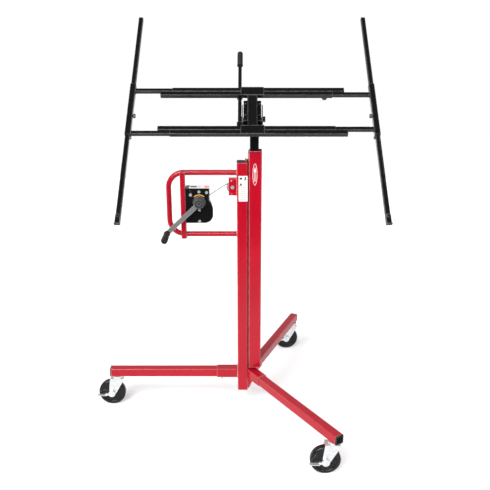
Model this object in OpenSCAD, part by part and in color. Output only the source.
// Drywall lift at its lowest position, with its board cradle tilted for loading.
// X points right, Y points away from the winch side, Z points up. Millimetres.

/* [Mast and column] */
// Width of the fixed mast tube
mast_w = 49; // [44:1:52]
// Height of the mast's top above the floor
mast_top = 1248; // [1200:1:1250]
// Height of the mast's bottom above the floor
mast_bottom = 87; // [80:1:100]
// Width of the lifting column
column_w = 58; // [56:1:62]
// Height of the column's top when it is lowered
column_top = 1302; // [1300:1:1306]
// Gap between the mast and the column
column_gap = 6; // [5:1:8]
// Travel of the column on the mast
column_travel = 920; // [600:10:920]
// Width of the inner tube that carries the cradle
inner_w = 40; // [36:1:40]

/* [Base] */
// Width of the square leg tubes
leg_w = 42; // [38:1:42]
// Height of the legs' undersides
leg_z = 161; // [160:1:162]
// Reach of the left leg from the mast's centre
left_reach = 664; // [640:1:700]
// Reach of the front and back legs from their hub
fork_reach = 685; // [640:1:720]
// Angle of the front leg from the X axis
front_angle = -56.5; // [-62:0.5:-54]
// Angle of the back leg from the X axis
back_angle = 67; // [60:0.5:70]
// Diameter of the caster wheels
wheel_d = 134; // [125:1:135]

/* [Cradle] */
// Tilt of the cradle in this pose, near edge low
tilt = 41.2; // [38:0.1:44]
// Height of the tilt pin
pivot_z = 1438; // [1436:1:1450]
// Distance of the end bars from the cradle's centre
bar_reach = 529.5; // [520:0.5:540]
// Distance of the twin beams from the cradle's centre
beam_reach = 108.6; // [106:0.1:112]
// Length of each end bar
bar_length = 1150; // [1100:1:1200]

/* [Winch] */
// Height of the cable drum's axis
drum_z = 1037; // [1037:1:1038]
// Place of the winch along X
winch_x = -194; // [-196:1:-193]
// Radius from the crank's axis to the grip's axis
crank_radius = 205; // [190:1:215]

/* [Hidden] */
$fn = 48;

red = [0.80, 0.07, 0.16];
black = [0.06, 0.06, 0.065];
zinc = [0.80, 0.81, 0.83];
nylon = [0.12, 0.12, 0.12];
grey = [0.45, 0.45, 0.46];

// Clearances
slide_gap = 0.5;
run_gap = 0.05;
weld_gap = 0.1;

// Tube walls
mast_wall = 3;
column_wall = 2.5;
inner_wall = 2;
leg_wall = 2;
light_wall = 1.5;
tube_r = 4;

// Mast and column places
column_x = mast_w / 2 + column_gap + column_w / 2;
column_left = column_x - column_w / 2;
column_bottom = 218;
inner_x = column_left + column_wall + slide_gap + 1 + inner_w / 2;
inner_bottom = 250;
inner_top = 1398;
slot_w = 9;
rail_bottom = 96;
rail_top = 1262;
rail_head_x = 13;
rail_head_t = 5.5;
rail_head_w = 28;
rail_web_t = 5;
shoe_height = 80;
cap_depth = 58;
cap_band = 4;

// Legs, sockets and casters
socket_wall = 2.5;
socket_w = leg_w + 2 * slide_gap + 2 * socket_wall;
socket_reach = 128;
fork_socket_reach = 112;
hub_x = 33;
leg_start = 52;
cap_lip = 5;
swivel_inset = 36;
caster_trail = 33;
wheel_w = 32;
wheel_r = wheel_d / 2;
pedal_reach = 70;

// Cradle
cradle_x = 45.5;
cradle_h = 50;
beam_w = 22;
beam_pitch = beam_w / 2;
beam_mouth = 353;
beam_end = 405;
knob_t = 319.5;
spine_w = 42;
spine_h = 40;
arm_w = 18;
arm_length = 690;
sleeve_w = 25;
sleeve_low = -133;
sleeve_high = 154;
bar_w = 20;
bar_low = -571;
hook_s = -541;
yoke_half = 46;
yoke_plate = 5;
yoke_depth = 34;
pin_r = 8;
rod_x = -55.5;
rod_n = -20.5;
rod_r = 8;

// Winch
gear_module = 1.5;
pinion_teeth = 10;
gear_teeth = 38;
crank_z = drum_z + gear_module * (pinion_teeth + gear_teeth) / 2;
drum_rope_r = 25;
cable_r = 2;
drum_flange_r = 56;
shaft_r = 6;
crank_shaft_r = 7;
gear_w = 8;
gear_back = -34;
gear_front = gear_back - gear_w;
ratchet_r = 30;
ratchet_teeth = 16;
plate_y = -47;
plate_t = 3;
plate_right = -149;
plate_top = 1137;
plate_low = 975;
plate_round = 62;
plate_corner = 40;
plate_back = 16;
inner_plate_t = 3;
spacer_r = 4;
pawl_room = 5;
pawl_at = [-232, 1109];
spacers = [[-160, 1119], pawl_at, [winch_x, 1122]];
stud_at = [winch_x, 984];
post_x = -269;
post_w = 24;
plate_left = post_x + post_w / 2 + weld_gap;
handle_r = 12;
handle_x = -336;
handle_top = 1199.5;
handle_bottom = 908;
handle_bend = 70;
crank_angle = 223.5;
arm_front = -74;
grip_far = -168;
pulley_x = -44;
pulley_z = 1134;
pulley_r = 28;
pulley_rope_r = 25;
stage_y = 23.2;
stage_pulley_x = column_left + 5.5;
stage_pulley_z = 1290;
stage_rope_r = 8;
stage_cable_r = 1.5;

// The row's origin: centre of the bounding box, on the floor
x_low = -left_reach + swivel_inset - caster_trail - pedal_reach;
x_high = cradle_x + bar_reach + sleeve_w / 2;
y_low = fork_reach * sin(front_angle) - leg_w / 2 * cos(front_angle);
y_high = fork_reach * sin(back_angle) + leg_w / 2 * cos(back_angle);

// ---------- shared shapes ----------

module placed() {
    translate([-(x_low + x_high) / 2, -(y_low + y_high) / 2, 0]) children();
}

module rounded_rect(w, d, r) {
    square([w - 2 * r, d], center = true);
    square([w, d - 2 * r], center = true);
    for (x = [-1, 1], y = [-1, 1]) {
        translate([x * (w / 2 - r), y * (d / 2 - r)]) circle(r = r, $fn = 24);
    }
}

module tube_profile(w, d, wall, r) {
    difference() {
        rounded_rect(w, d, r);
        rounded_rect(w - 2 * wall, d - 2 * wall, max(r - wall, 1));
    }
}

module tube_z(w, wall, low, high) {
    translate([0, 0, low]) linear_extrude(high - low) tube_profile(w, w, wall, tube_r);
}

module tube_x(w, wall, low, high, r = 3) {
    translate([low, 0, 0]) rotate([90, 0, 90]) linear_extrude(high - low) tube_profile(w, w, wall, r);
}

module tube_y(w, wall, low, high, r = 3) {
    translate([0, high, 0]) rotate([90, 0, 0]) linear_extrude(high - low) tube_profile(w, w, wall, r);
}

module box(low, high) {
    translate(low) cube([high[0] - low[0], high[1] - low[1], high[2] - low[2]]);
}

module rod_x_axis(r, low, high, sides = 48) {
    translate([low, 0, 0]) rotate([0, 90, 0]) cylinder(r = r, h = high - low, $fn = sides);
}

module rod_y_axis(r, low, high, sides = 48) {
    translate([0, high, 0]) rotate([90, 0, 0]) cylinder(r = r, h = high - low, $fn = sides);
}

module ring_y(r_out, r_in, low, high) {
    difference() {
        rod_y_axis(r_out, low, high);
        rod_y_axis(r_in, low - 1, high + 1);
    }
}

// Carries its children from the cradle's own plane to the tilted place on the mast head
module on_cradle() {
    translate([cradle_x, 0, pivot_z]) rotate([tilt, 0, 0]) translate([0, 0, cradle_h]) children();
}

// Carries its children from a leg's own frame, which runs along +X from the hub
module on_leg(name) {
    if (name == "left") rotate([0, 0, 180]) children();
    if (name == "front") translate([hub_x, 0, 0]) rotate([0, 0, front_angle]) children();
    if (name == "back") translate([hub_x, 0, 0]) rotate([0, 0, back_angle]) children();
}

function leg_reach(name) = name == "left" ? left_reach : fork_reach;
function leg_angle(name) = name == "left" ? 180 : (name == "front" ? front_angle : back_angle);
function leg_hub(name) = name == "left" ? 0 : hub_x;
function swivel_x(name) = leg_hub(name) + (leg_reach(name) - swivel_inset) * cos(leg_angle(name));
function swivel_y(name) = (leg_reach(name) - swivel_inset) * sin(leg_angle(name));

// ---------- mast ----------

module rail_profile(grow = 0) {
    translate([rail_head_x - grow, -rail_head_w / 2 - grow])
        square([rail_head_t + 2 * grow, rail_head_w + 2 * grow]);
    translate([rail_head_x, -rail_web_t / 2 - grow])
        square([column_left - rail_head_x, rail_web_t + 2 * grow]);
}

module mast() {
    color(red) placed() difference() {
        tube_z(mast_w, mast_wall, mast_bottom, mast_top);
        box([mast_w / 2 - 2 * mast_wall, -slot_w / 2, mast_bottom - 1], [mast_w, slot_w / 2, mast_top + 1]);
        box([-mast_w, -7, pulley_z - 34], [-mast_w / 2 + 2 * mast_wall, 7, pulley_z + 34]);
    }
}

module mast_cap() {
    plug = mast_w - 2 * mast_wall - 2 * weld_gap;
    color(nylon) placed() difference() {
        union() {
            translate([0, 0, mast_top + weld_gap]) linear_extrude(cap_band) rounded_rect(mast_w, mast_w, tube_r);
            translate([0, 0, mast_top - cap_depth]) linear_extrude(cap_depth + 1) rounded_rect(plug, plug, 1);
        }
        translate([0, 0, mast_top - cap_depth - 1]) linear_extrude(cap_depth + cap_band + 3)
            rail_profile(slide_gap);
    }
}

// ---------- base ----------

module socket_tube(low, high) {
    translate([0, 0, leg_z + leg_w / 2]) tube_x(socket_w, socket_wall, low, high, tube_r);
}

module lock_bolt_hole(at) {
    translate([at, 0, leg_z - socket_w / 2]) cylinder(r = 5 + weld_gap, h = socket_w / 2);
}

module left_socket() {
    color(red) placed() on_leg("left") difference() {
        socket_tube(mast_w / 2 + weld_gap, socket_reach);
        lock_bolt_hole(socket_reach - 23);
    }
}

module fork_socket(name, keep_low, keep_high) {
    intersection() {
        on_leg(name) difference() {
            socket_tube(-40, fork_socket_reach);
            lock_bolt_hole(fork_socket_reach - 16);
        }
        box([mast_w / 2 + weld_gap, keep_low, 0], [400, keep_high, 400]);
    }
}

module rail_room() {
    half = rail_web_t / 2 + slide_gap;
    box([0, -half, 0], [column_left + slide_gap, half, 400]);
}

module fork_sockets() {
    gusset_top = leg_z - slide_gap - socket_wall;
    color(red) placed() {
        difference() {
            fork_socket("front", -400, -weld_gap);
            rail_room();
        }
        difference() {
            fork_socket("back", weld_gap, 400);
            rail_room();
        }
        for (y = [-18, 14]) {
            translate([mast_w / 2 + weld_gap, y + 4, gusset_top - weld_gap]) rotate([90, 0, 0])
                linear_extrude(4) polygon([[0, 0], [34, 0], [8, -62], [0, -62]]);
        }
    }
}

module leg(name) {
    reach = leg_reach(name);
    color(red) placed() on_leg(name) translate([0, 0, leg_z + leg_w / 2])
        tube_x(leg_w, leg_wall, name == "left" ? mast_w / 2 + 4 : leg_start + 10, reach - cap_lip, tube_r);
}

module left_leg() {
    leg("left");
}

module front_leg() {
    leg("front");
}

module back_leg() {
    leg("back");
}

module leg_end_caps() {
    inside = leg_w - 2 * leg_wall - 2 * weld_gap;
    for (name = ["left", "front", "back"]) {
        color(black) placed() on_leg(name) translate([leg_reach(name), 0, leg_z + leg_w / 2])
            rotate([0, -90, 0]) difference() {
                union() {
                    linear_extrude(cap_lip - weld_gap) rounded_rect(leg_w, leg_w, tube_r);
                    linear_extrude(18) rounded_rect(inside, inside, 2);
                }
                translate([0, 0, -1]) linear_extrude(12) rounded_rect(inside - 6, inside - 6, 2);
            }
    }
}

module lock_bolt(at) {
    head = leg_z - slide_gap - socket_wall - weld_gap;
    translate([at, 0, head]) cylinder(r = 5, h = leg_z - weld_gap - head);
    translate([at, 0, head - 6]) cylinder(r = 9, h = 6, $fn = 6);
    translate([at, 0, head - 18]) cylinder(r = 5, h = 12);
}

module leg_lock_bolts() {
    color(zinc) placed() {
        on_leg("left") lock_bolt(socket_reach - 23);
        on_leg("front") lock_bolt(fork_socket_reach - 16);
        on_leg("back") lock_bolt(fork_socket_reach - 16);
    }
    color(red) placed() translate([39, 0, 72]) cylinder(r = 8.5, h = 60);
}

// ---------- winch frame ----------

module handle_side() {
    bend = handle_bend;
    x = handle_x + bend;
    translate([x, 0, handle_top]) rod_x_axis(handle_r, 0, -mast_w / 2 - weld_gap - x);
    translate([x, 0, handle_bottom]) rod_x_axis(handle_r, 0, -mast_w / 2 - weld_gap - x);
    translate([handle_x, 0, handle_bottom + bend])
        cylinder(r = handle_r, h = handle_top - handle_bottom - 2 * bend);
    translate([x, 0, handle_top - bend]) rotate([90, 0, 0])
        rotate([0, 0, 90]) rotate_extrude(angle = 90) translate([bend, 0]) circle(r = handle_r);
    translate([x, 0, handle_bottom + bend]) rotate([90, 0, 0])
        rotate([0, 0, 180]) rotate_extrude(angle = 90) translate([bend, 0]) circle(r = handle_r);
}

module handle_frame() {
    color(red) placed() handle_side();
}

module winch_post() {
    color(red) placed() translate([post_x, -handle_r - weld_gap - post_w / 2, 0])
        tube_z(post_w, 2, handle_bottom - handle_r, handle_top + 8);
}

// A plate with a round shoulder on its right and a smaller round at its lower corner
module plate_outline(r) {
    left = plate_left + plate_t - weld_gap - winch_x;
    inset = r - plate_corner;
    translate([left, drum_z]) square([plate_right - winch_x - left, plate_top - drum_z]);
    translate([left, drum_z - r]) square([inset - left, r + 1]);
    translate([0, drum_z - inset]) square([r, inset + 1]);
    translate([0, drum_z]) circle(r = r, $fn = 96);
    translate([inset, drum_z - inset]) circle(r = plate_corner, $fn = 64);
}

module spacer_holes(low, high) {
    for (p = concat(spacers, [stud_at])) {
        translate([p[0], 0, p[1]]) rod_y_axis(spacer_r + run_gap, low, high);
    }
}

module winch_front_plate() {
    color(black) placed() difference() {
        union() {
            translate([winch_x, plate_y + plate_t, 0]) rotate([90, 0, 0])
                linear_extrude(plate_t) plate_outline(plate_round);
            box([plate_left, plate_y, plate_low], [plate_left + plate_t, plate_back, plate_top]);
            box([plate_left, plate_y, plate_top - plate_t], [plate_right, plate_back, plate_top]);
        }
        translate([winch_x, 0, drum_z]) rod_y_axis(shaft_r + run_gap, plate_y - 1, plate_y + 10);
        translate([winch_x, 0, crank_z]) rod_y_axis(crank_shaft_r + run_gap, plate_y - 1, plate_y + 10);
        spacer_holes(plate_y - 1, plate_y + 10);
    }
}

module inner_plate(y, with_crank) {
    left = plate_left + plate_t + weld_gap;
    difference() {
        intersection() {
            box([left, y, plate_low], [plate_right - 1, y + inner_plate_t, plate_top - plate_t - 1]);
            translate([winch_x, y + inner_plate_t, 0]) rotate([90, 0, 0])
                linear_extrude(inner_plate_t) plate_outline(plate_round - 2);
        }
        translate([winch_x, 0, drum_z]) rod_y_axis(shaft_r + run_gap, y - 1, y + 4);
        if (with_crank) translate([winch_x, 0, crank_z]) rod_y_axis(crank_shaft_r + run_gap, y - 1, y + 4);
        spacer_holes(y - 1, y + 4);
    }
}

module winch_inner_plates() {
    color(zinc) placed() {
        inner_plate(-32, true);
        inner_plate(plate_back - inner_plate_t, false);
    }
}

// A through bolt whose head stands off the front plate by the given shank
module spacer_bolt(at, shank) {
    front = plate_y - weld_gap - shank;
    translate([at[0], 0, at[1]]) {
        rod_y_axis(spacer_r, front, plate_back + weld_gap);
        rod_y_axis(7.5, front - 5, front, 6);
        rod_y_axis(7.5, plate_back + weld_gap, plate_back + 6, 6);
    }
}

// A riveted stud that stops at the middle plate, clear of the drum's flange
module stud() {
    translate([stud_at[0], 0, stud_at[1]]) {
        rod_y_axis(spacer_r, plate_y - weld_gap, -29);
        rod_y_axis(7.5, plate_y - 5, plate_y - weld_gap, 6);
    }
}

module winch_bolts() {
    color(zinc) placed() {
        for (p = spacers) {
            spacer_bolt(p, p == pawl_at ? pawl_room : 0);
        }
        stud();
        translate([pulley_x, 0, pulley_z]) {
            rod_y_axis(5, -12 - weld_gap, 12 + weld_gap);
            rod_y_axis(9, -18, -12 - weld_gap, 6);
            rod_y_axis(9, 12 + weld_gap, 19, 6);
        }
    }
}

module pulley_bracket() {
    right = -mast_w / 2 - weld_gap;
    color(red) placed() difference() {
        box([-62, -12, 1095], [right, 12, 1174]);
        box([-70, -8.5, 1090], [right - 3, 8.5, 1180]);
        box([-40, -8.5, 1100], [0, 8.5, 1168]);
        translate([pulley_x, 0, pulley_z]) rod_y_axis(5 + run_gap, -20, 20);
        for (z = [1103, 1165]) {
            translate([-49, 0, z]) rod_y_axis(2.5, -20, 20);
        }
    }
}

// ---------- cables ----------

module arc_cable(rope_r, bend_r, from, to) {
    rotate([90, 0, 0]) rotate([0, 0, from]) rotate_extrude(angle = to - from)
        translate([bend_r, 0]) circle(r = rope_r, $fn = 16);
}

// The cable leaves the drum on top, goes over the guide pulley and down inside the mast
module lift_cable() {
    rise = atan2(pulley_z - drum_z, pulley_x - winch_x);
    run = norm([pulley_x - winch_x, pulley_z - drum_z]);
    color(grey) placed() {
        translate([winch_x, 0, drum_z]) rotate([0, -rise, 0])
            translate([0, 0, drum_rope_r]) rod_x_axis(cable_r, 0, run, 16);
        translate([pulley_x, 0, pulley_z]) arc_cable(cable_r, pulley_rope_r, 0, 90 + rise);
        translate([pulley_x + pulley_rope_r, 0, rail_bottom + 14])
            cylinder(r = cable_r, h = pulley_z - rail_bottom - 14, $fn = 16);
    }
}

// The second cable runs up beside the column, over its top pulley and down to the inner tube's foot
module stage_cable() {
    color(grey) placed() {
        translate([stage_pulley_x - stage_rope_r, stage_y, stage_pulley_z - column_travel])
            cylinder(r = stage_cable_r, h = column_travel, $fn = 16);
        translate([stage_pulley_x, stage_y, stage_pulley_z]) arc_cable(stage_cable_r, stage_rope_r, 0, 180);
        translate([stage_pulley_x + stage_rope_r, stage_y, inner_bottom + 62])
            cylinder(r = stage_cable_r, h = stage_pulley_z - inner_bottom - 62, $fn = 16);
    }
}

module pulley(r, rope_r, cable, width, bore) {
    rotate([90, 0, 0]) rotate_extrude($fn = 96) difference() {
        translate([bore, -width / 2]) square([r - bore, width]);
        translate([rope_r, 0]) circle(r = cable + 0.3, $fn = 24);
        polygon([
            [rope_r, cable + 0.3], [r + 1, width / 2 - 1],
            [r + 1, 1 - width / 2], [rope_r, -cable - 0.3]
        ]);
    }
}

module guide_pulley() {
    color(zinc) placed() translate([pulley_x, 0, pulley_z])
        pulley(pulley_r, pulley_rope_r, cable_r, 12, 5 + run_gap);
}

module column_pulley() {
    color(zinc) placed() translate([stage_pulley_x, stage_y, stage_pulley_z])
        pulley(10, stage_rope_r, stage_cable_r, 5.2, 3 + run_gap);
}

// ---------- winch works ----------

module gear_profile(teeth) {
    pitch_r = gear_module * teeth / 2;
    root_r = pitch_r - 1.25 * gear_module;
    tip_r = pitch_r + gear_module * 0.8;
    root_half = 0.95 * gear_module;
    tip_half = 0.3 * gear_module;
    circle(r = root_r, $fn = 96);
    for (i = [0:teeth - 1]) {
        rotate(i * 360 / teeth) polygon([
            [root_r - 0.6, -root_half], [tip_r, -tip_half], [tip_r, tip_half], [root_r - 0.6, root_half]
        ]);
    }
}

// A disc with saw teeth for the pawl
module ratchet_profile() {
    circle(r = ratchet_r - 3, $fn = 96);
    for (i = [0:ratchet_teeth - 1]) {
        rotate(i * 360 / ratchet_teeth)
            polygon([[0, 0], [ratchet_r - 3, -3], [ratchet_r, -2.5], [ratchet_r - 3, 4]]);
    }
}

module cable_drum() {
    color(zinc) placed() translate([winch_x, 0, drum_z]) {
        rod_y_axis(shaft_r, -52, 22);
        ring_y(drum_flange_r, shaft_r, -27, -25);
        ring_y(drum_flange_r, shaft_r, 9, 11);
        ring_y(drum_rope_r - cable_r - 0.3, shaft_r, -25, 9);
    }
}

module drum_gear() {
    color(grey) placed() translate([winch_x, gear_back, drum_z]) rotate([90, 0, 0])
        rotate(270 + 180 / gear_teeth) linear_extrude(gear_w) difference() {
            gear_profile(gear_teeth);
            circle(r = shaft_r + weld_gap);
        }
}

module crank_shaft() {
    color(zinc) placed() translate([winch_x, 0, crank_z]) {
        rod_y_axis(crank_shaft_r, arm_front + 4, gear_front - slide_gap);
        translate([0, gear_back + slide_gap, 0]) rotate([90, 0, 0]) rotate(270)
            linear_extrude(gear_w + 2 * slide_gap) gear_profile(pinion_teeth);
        rod_y_axis(crank_shaft_r, gear_back + slide_gap, -29);
        translate([0, -50, 0]) rotate([90, 0, 0]) linear_extrude(2) ratchet_profile();
    }
}

module crank_arm() {
    color(grey) placed() translate([winch_x, 0, crank_z]) {
        difference() {
            union() {
                rod_y_axis(20, arm_front - 5, -58);
                rotate([0, -crank_angle, 0])
                    box([10, arm_front, -10.5], [crank_radius - 8, arm_front + 7, 10.5]);
                rotate([0, -crank_angle, 0]) translate([crank_radius, 0, 0])
                    rod_y_axis(11, arm_front, arm_front + 7);
            }
            rod_y_axis(crank_shaft_r + weld_gap, arm_front + 4 - weld_gap, -50);
        }
        rotate([0, -crank_angle, 0]) translate([crank_radius, 0, 0]) {
            rod_y_axis(5, grip_far - 1, arm_front);
            rod_y_axis(8, grip_far - 5, grip_far - 1);
        }
    }
}

module crank_grip() {
    color(black) placed() translate([winch_x, 0, crank_z]) rotate([0, -crank_angle, 0])
        translate([crank_radius, 0, 0]) ring_y(15, 5 + run_gap, grip_far, arm_front - 1);
}

// The pawl turns on the long spacer bolt and rests just off the ratchet disc
module brake_pawl() {
    color(zinc) placed() translate([pawl_at[0], plate_y - slide_gap, pawl_at[1]]) rotate([90, 0, 0])
        linear_extrude(pawl_room - 2 * slide_gap) difference() {
            union() {
                circle(r = 8.5);
                polygon([[-3, -7], [7, -5], [13.2, -12.4], [11, -14.5]]);
                polygon([[-4, 6], [4, 7], [2, 20], [-5, 20]]);
            }
            circle(r = spacer_r + run_gap);
        }
}

// ---------- column ----------

module lift_column() {
    color(red) placed() {
        difference() {
            translate([column_x, 0, 0]) tube_z(column_w, column_wall, column_bottom, column_top);
            box([column_left - 1, stage_y - 4, stage_pulley_z - 16], [column_left + 5, stage_y + 4, column_top + 1]);
        }
        translate([stage_pulley_x, stage_y, stage_pulley_z]) rod_y_axis(3, -2.9, column_w / 2 - stage_y - 1);
    }
}

module column_rail() {
    color(red) placed() translate([0, 0, rail_bottom]) linear_extrude(rail_top - rail_bottom)
        difference() {
            rail_profile();
            translate([column_left - weld_gap, -10]) square(20);
        }
}

module foot_shoe() {
    size = mast_w - 2 * mast_wall - 2 * slide_gap;
    color(nylon) placed() translate([0, 0, rail_bottom]) linear_extrude(shoe_height) difference() {
        rounded_rect(size, size, 2);
        rail_profile(weld_gap);
        translate([pulley_x + pulley_rope_r, 0]) circle(r = cable_r + 1);
    }
}

module column_bushing() {
    outer = column_w - 2 * column_wall - 2 * weld_gap;
    inside = inner_w + 2 * slide_gap;
    color(nylon) placed() translate([0, 0, column_top - 66]) linear_extrude(40) difference() {
        translate([column_x, 0]) rounded_rect(outer, outer, 2);
        translate([inner_x, 0]) rounded_rect(inside, inside, tube_r);
        translate([stage_pulley_x + stage_rope_r, stage_y]) circle(r = stage_cable_r + 0.5, $fn = 24);
    }
}

// ---------- inner tube and head ----------

module inner_tube() {
    color(black) placed() translate([inner_x, 0, 0]) tube_z(inner_w, inner_wall, inner_bottom, inner_top);
}

module inner_foot() {
    outer = column_w - 2 * column_wall - 2 * slide_gap;
    inside = inner_w + 2 * weld_gap;
    color(nylon) placed() translate([0, 0, inner_bottom]) linear_extrude(60) difference() {
        translate([column_x, 0]) rounded_rect(outer, outer, 2);
        translate([inner_x, 0]) rounded_rect(inside, inside, tube_r);
        translate([stage_pulley_x + stage_rope_r, stage_y]) circle(r = stage_cable_r + 0.5, $fn = 24);
    }
}

module cheek(x) {
    translate([x, 0, 0]) rotate([90, 0, 90]) linear_extrude(yoke_plate) difference() {
        union() {
            circle(r = 24);
            polygon([[-yoke_depth, -40], [yoke_depth, -40], [yoke_depth, 40], [20, 62], [-4, 62], [-yoke_depth, -6]]);
        }
        circle(r = pin_r + run_gap);
    }
}

module head_yoke() {
    color(black) placed() translate([cradle_x, 0, pivot_z]) {
        cheek(-yoke_half);
        cheek(yoke_half - yoke_plate);
        box([-yoke_half, -yoke_depth, -40], [yoke_half, yoke_depth, -34]);
        box([-yoke_half, yoke_depth - 4, -40], [yoke_half, yoke_depth, 4]);
    }
}

module tilt_pin() {
    color(zinc) placed() translate([cradle_x, 0, pivot_z]) {
        rod_x_axis(pin_r, -yoke_half - weld_gap, yoke_half + weld_gap);
        rod_x_axis(13, -yoke_half - 9, -yoke_half - weld_gap, 6);
        rod_x_axis(13, yoke_half + weld_gap, yoke_half + 11, 6);
    }
}

// ---------- cradle ----------

// The folded shelf on each side of the spine that stiffens it between the yoke's cheeks
module tilt_channel() {
    box([spine_w / 2 - 1, -28, -26], [39, 84, -23]);
    box([36, -28, -38], [39, 84, -23]);
}

module cradle_spine() {
    reach = beam_reach - beam_w - weld_gap;
    top = beam_w / 2;
    color(black) placed() on_cradle() difference() {
        union() {
            translate([0, 0, top - spine_h / 2]) rotate([90, 0, 0]) translate([0, 0, -reach])
                linear_extrude(2 * reach) tube_profile(spine_w, spine_h, 2, tube_r);
            translate([0, 0, -cradle_h]) rod_x_axis(15, -37, 37);
            box([-spine_w / 2, -15, -cradle_h], [spine_w / 2, 15, top - spine_h + 1]);
            for (side = [-1, 1]) {
                scale([side, 1, 1]) tilt_channel();
            }
        }
        translate([0, 0, -cradle_h]) rod_x_axis(pin_r + run_gap, -60, 60);
    }
}

module beam(s, side) {
    low = side > 0 ? -beam_end : -beam_mouth;
    high = side > 0 ? beam_mouth : beam_end;
    cap = side > 0 ? low : high;
    plug = beam_w / 2 - light_wall - weld_gap;
    translate([0, s, 0]) {
        tube_x(beam_w, light_wall, low, high);
        box([min(cap, cap + side * 3), -plug, -plug], [max(cap, cap + side * 3), plug, plug]);
    }
}

module saddle(s) {
    box([-50, s - beam_w, beam_w / 2 + weld_gap], [50, s + beam_w, beam_w / 2 + 3]);
}

module rod_guide(low, high, top) {
    difference() {
        box([rod_x - 12, low, rod_n - 12], [rod_x + 12, high, top]);
        translate([rod_x, 0, rod_n]) rod_y_axis(rod_r + slide_gap, low - 1, high + 1);
    }
}

module rear_beams() {
    color(black) placed() on_cradle() {
        beam(beam_reach + beam_pitch + weld_gap, -1);
        difference() {
            beam(beam_reach - beam_pitch, 1);
            translate([knob_t, beam_reach - beam_pitch, -beam_w]) cylinder(r = 4 + weld_gap, h = beam_w);
        }
        saddle(beam_reach);
        rod_guide(beam_reach - 10, beam_reach + 10, -beam_w / 2 - weld_gap);
    }
}

module front_beams() {
    color(black) placed() on_cradle() {
        beam(-beam_reach - beam_pitch - weld_gap, -1);
        beam(-beam_reach + beam_pitch, 1);
        saddle(-beam_reach);
        rod_guide(-beam_reach + beam_w + weld_gap, -beam_reach + beam_w + 34, -4);
    }
}

module tilt_pull_rod() {
    color(black) placed() on_cradle() translate([rod_x, 0, rod_n]) {
        rod_y_axis(rod_r, -77, 295);
        rod_y_axis(11, 295, 374);
    }
}

// ---------- outriggers ----------

module arm(side, s) {
    far = bar_reach - sleeve_w / 2 - weld_gap;
    near = far - arm_length;
    color(black) placed() on_cradle() translate([0, s, 0])
        tube_x(arm_w, light_wall, side < 0 ? -far : near, side < 0 ? -near : far);
}

module left_rear_arm() {
    arm(-1, beam_reach + beam_pitch + weld_gap);
}

module left_front_arm() {
    arm(-1, -beam_reach - beam_pitch - weld_gap);
}

module right_rear_arm() {
    arm(1, beam_reach - beam_pitch);
}

module right_front_arm() {
    arm(1, -beam_reach + beam_pitch);
}

module sleeve(side) {
    color(black) placed() on_cradle() translate([side * bar_reach, 0, 0]) difference() {
        tube_y(sleeve_w, 2, sleeve_low, sleeve_high);
        translate([0, -24, 0]) rod_x_axis(4 + weld_gap, side > 0 ? -20 : 0, side > 0 ? 0 : 20);
    }
}

module left_sleeve() {
    sleeve(-1);
}

module right_sleeve() {
    sleeve(1);
}

module end_bar(side) {
    color(black) placed() on_cradle() translate([side * bar_reach, 0, 0]) difference() {
        union() {
            tube_y(bar_w, light_wall, bar_low, bar_low + bar_length);
            translate([0, sleeve_low - 11, 0]) rod_x_axis(6, side > 0 ? -17 : 9, side > 0 ? -9 : 17, 6);
        }
        translate([0, hook_s, 0]) cylinder(r = 4 + run_gap, h = 40, center = true);
    }
}

module left_end_bar() {
    end_bar(-1);
}

module right_end_bar() {
    end_bar(1);
}

// A flat plate that swings on a bolt over the bar's low end, with a lip for the board's edge
module hook(side) {
    low = bar_w / 2 + slide_gap;
    half = bar_w / 2;
    color(black) placed() on_cradle() translate([side * bar_reach, hook_s, 0]) {
        translate([0, 0, low]) cylinder(r = half, h = 3);
        box([-half, -39, low], [half, 0, low + 3]);
        box([-half, -42, low], [half, -39, 25]);
        translate([0, 0, -bar_w / 2 - 7]) cylinder(r = 4, h = bar_w + 12);
        translate([0, 0, low + 2.5]) cylinder(r = 7, h = 5, $fn = 6);
        translate([0, 0, -bar_w / 2 - 7]) cylinder(r = 7, h = 6, $fn = 6);
    }
}

module left_hook() {
    hook(-1);
}

module right_hook() {
    hook(1);
}

module knob(reach, r, lobe) {
    translate([0, 0, reach]) cylinder(r = 4, h = 10);
    translate([0, 0, reach + 4]) cylinder(r = r, h = 9);
    for (a = [0:60:300]) {
        rotate(a) translate([r - 0.5, 0, reach + 4]) cylinder(r = lobe, h = 9, $fn = 24);
    }
}

module sleeve_knob(side) {
    color(black) placed() on_cradle() translate([side * bar_reach, -24, 0])
        rotate([0, -side * 90, 0]) knob(bar_w / 2 + slide_gap, 8, 2.16);
}

module left_sleeve_knob() {
    sleeve_knob(-1);
}

module right_sleeve_knob() {
    sleeve_knob(1);
}

module right_arm_knob() {
    color(black) placed() on_cradle() translate([knob_t, beam_reach - beam_pitch, 0])
        rotate([180, 0, 0]) knob(arm_w / 2 + slide_gap, 10, 3);
}

// ---------- casters ----------

module at_caster(name) {
    translate([swivel_x(name), swivel_y(name), 0]) children();
}

module caster_mounts() {
    for (name = ["left", "front", "back"]) {
        color(zinc) placed() at_caster(name) {
            translate([0, 0, 150]) cylinder(r = 26, h = leg_z - weld_gap - 150);
            translate([0, 0, 137]) cylinder(r = 6, h = 14);
            translate([0, 0, 133.5]) cylinder(r = 9.5, h = 4, $fn = 6);
        }
    }
}

module fork_side(y) {
    translate([0, y + 3, 0]) rotate([90, 0, 0]) linear_extrude(3) difference() {
        union() {
            polygon([[-38, 148], [28, 148], [26, 134], [-12, 66], [-22, 52], [-44, 52], [-48, 66]]);
            translate([-caster_trail, wheel_r]) circle(r = 15);
        }
        translate([-caster_trail, wheel_r]) circle(r = 5 + weld_gap);
    }
}

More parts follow.
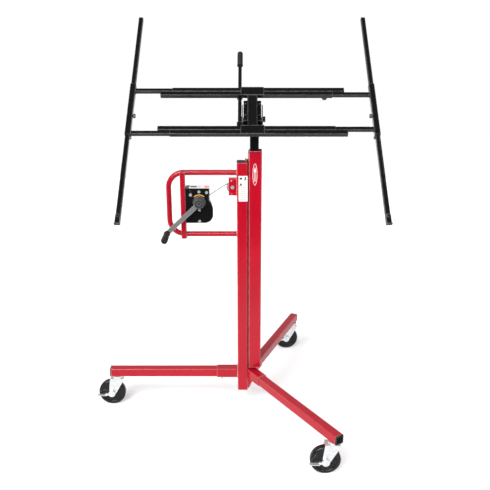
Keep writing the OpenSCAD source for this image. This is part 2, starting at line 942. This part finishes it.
module caster_fork(name) {
    color(zinc) placed() at_caster(name) {
        fork_side(-22);
        fork_side(19);
        difference() {
            box([-38, -19, 138], [27, 19, 148]);
            translate([0, 0, 130]) cylinder(r = 6 + run_gap, h = 30);
        }
        translate([-caster_trail, 0, wheel_r]) {
            rod_y_axis(5, -34, 24);
            rod_y_axis(9, 22 + weld_gap, 28, 6);
        }
    }
}

module left_caster_fork() {
    caster_fork("left");
}

module front_caster_fork() {
    caster_fork("front");
}

module back_caster_fork() {
    caster_fork("back");
}

module caster_wheel(name) {
    color(black) placed() at_caster(name) translate([-caster_trail, 0, wheel_r])
        rotate([90, 0, 0]) rotate_extrude($fn = 96) difference() {
            translate([5 + run_gap, -17]) square([wheel_r - 5 - run_gap, 34]);
            for (s = [-1, 1]) {
                polygon([[20, s * 18], [wheel_r + 1, s * 18], [wheel_r + 1, s * 13], [wheel_r - 4, s * 16], [20, s * 16]]);
                polygon([[24, s * 18], [48, s * 18], [46, s * 11], [26, s * 11]]);
            }
        }
}

module left_wheel() {
    caster_wheel("left");
}

module front_wheel() {
    caster_wheel("front");
}

module back_wheel() {
    caster_wheel("back");
}

module brake(name) {
    color(zinc) placed() at_caster(name) translate([-caster_trail, 0, wheel_r]) difference() {
        union() {
            rod_y_axis(17, -32, -23);
            box([-30, -32, -8], [14, -24, 2]);
            box([-pedal_reach, -40, -6], [-26, -24, -3]);
        }
        rod_y_axis(5 + run_gap, -50, -10);
    }
}

module left_brake() {
    brake("left");
}

module front_brake() {
    brake("front");
}

module back_brake() {
    brake("back");
}

mast();
mast_cap();
left_socket();
fork_sockets();
left_leg();
front_leg();
back_leg();
leg_end_caps();
leg_lock_bolts();
caster_mounts();
handle_frame();
winch_post();
winch_front_plate();
winch_inner_plates();
winch_bolts();
pulley_bracket();
lift_cable();
cable_drum();
drum_gear();
crank_shaft();
crank_arm();
crank_grip();
brake_pawl();
guide_pulley();
lift_column();
column_rail();
foot_shoe();
column_bushing();
stage_cable();
column_pulley();
inner_tube();
inner_foot();
head_yoke();
tilt_pin();
cradle_spine();
rear_beams();
front_beams();
tilt_pull_rod();
left_rear_arm();
left_front_arm();
left_sleeve();
right_rear_arm();
right_front_arm();
right_sleeve();
left_end_bar();
right_end_bar();
left_hook();
right_hook();
left_sleeve_knob();
right_sleeve_knob();
right_arm_knob();
left_caster_fork();
front_caster_fork();
back_caster_fork();
left_wheel();
front_wheel();
back_wheel();
left_brake();
front_brake();
back_brake();
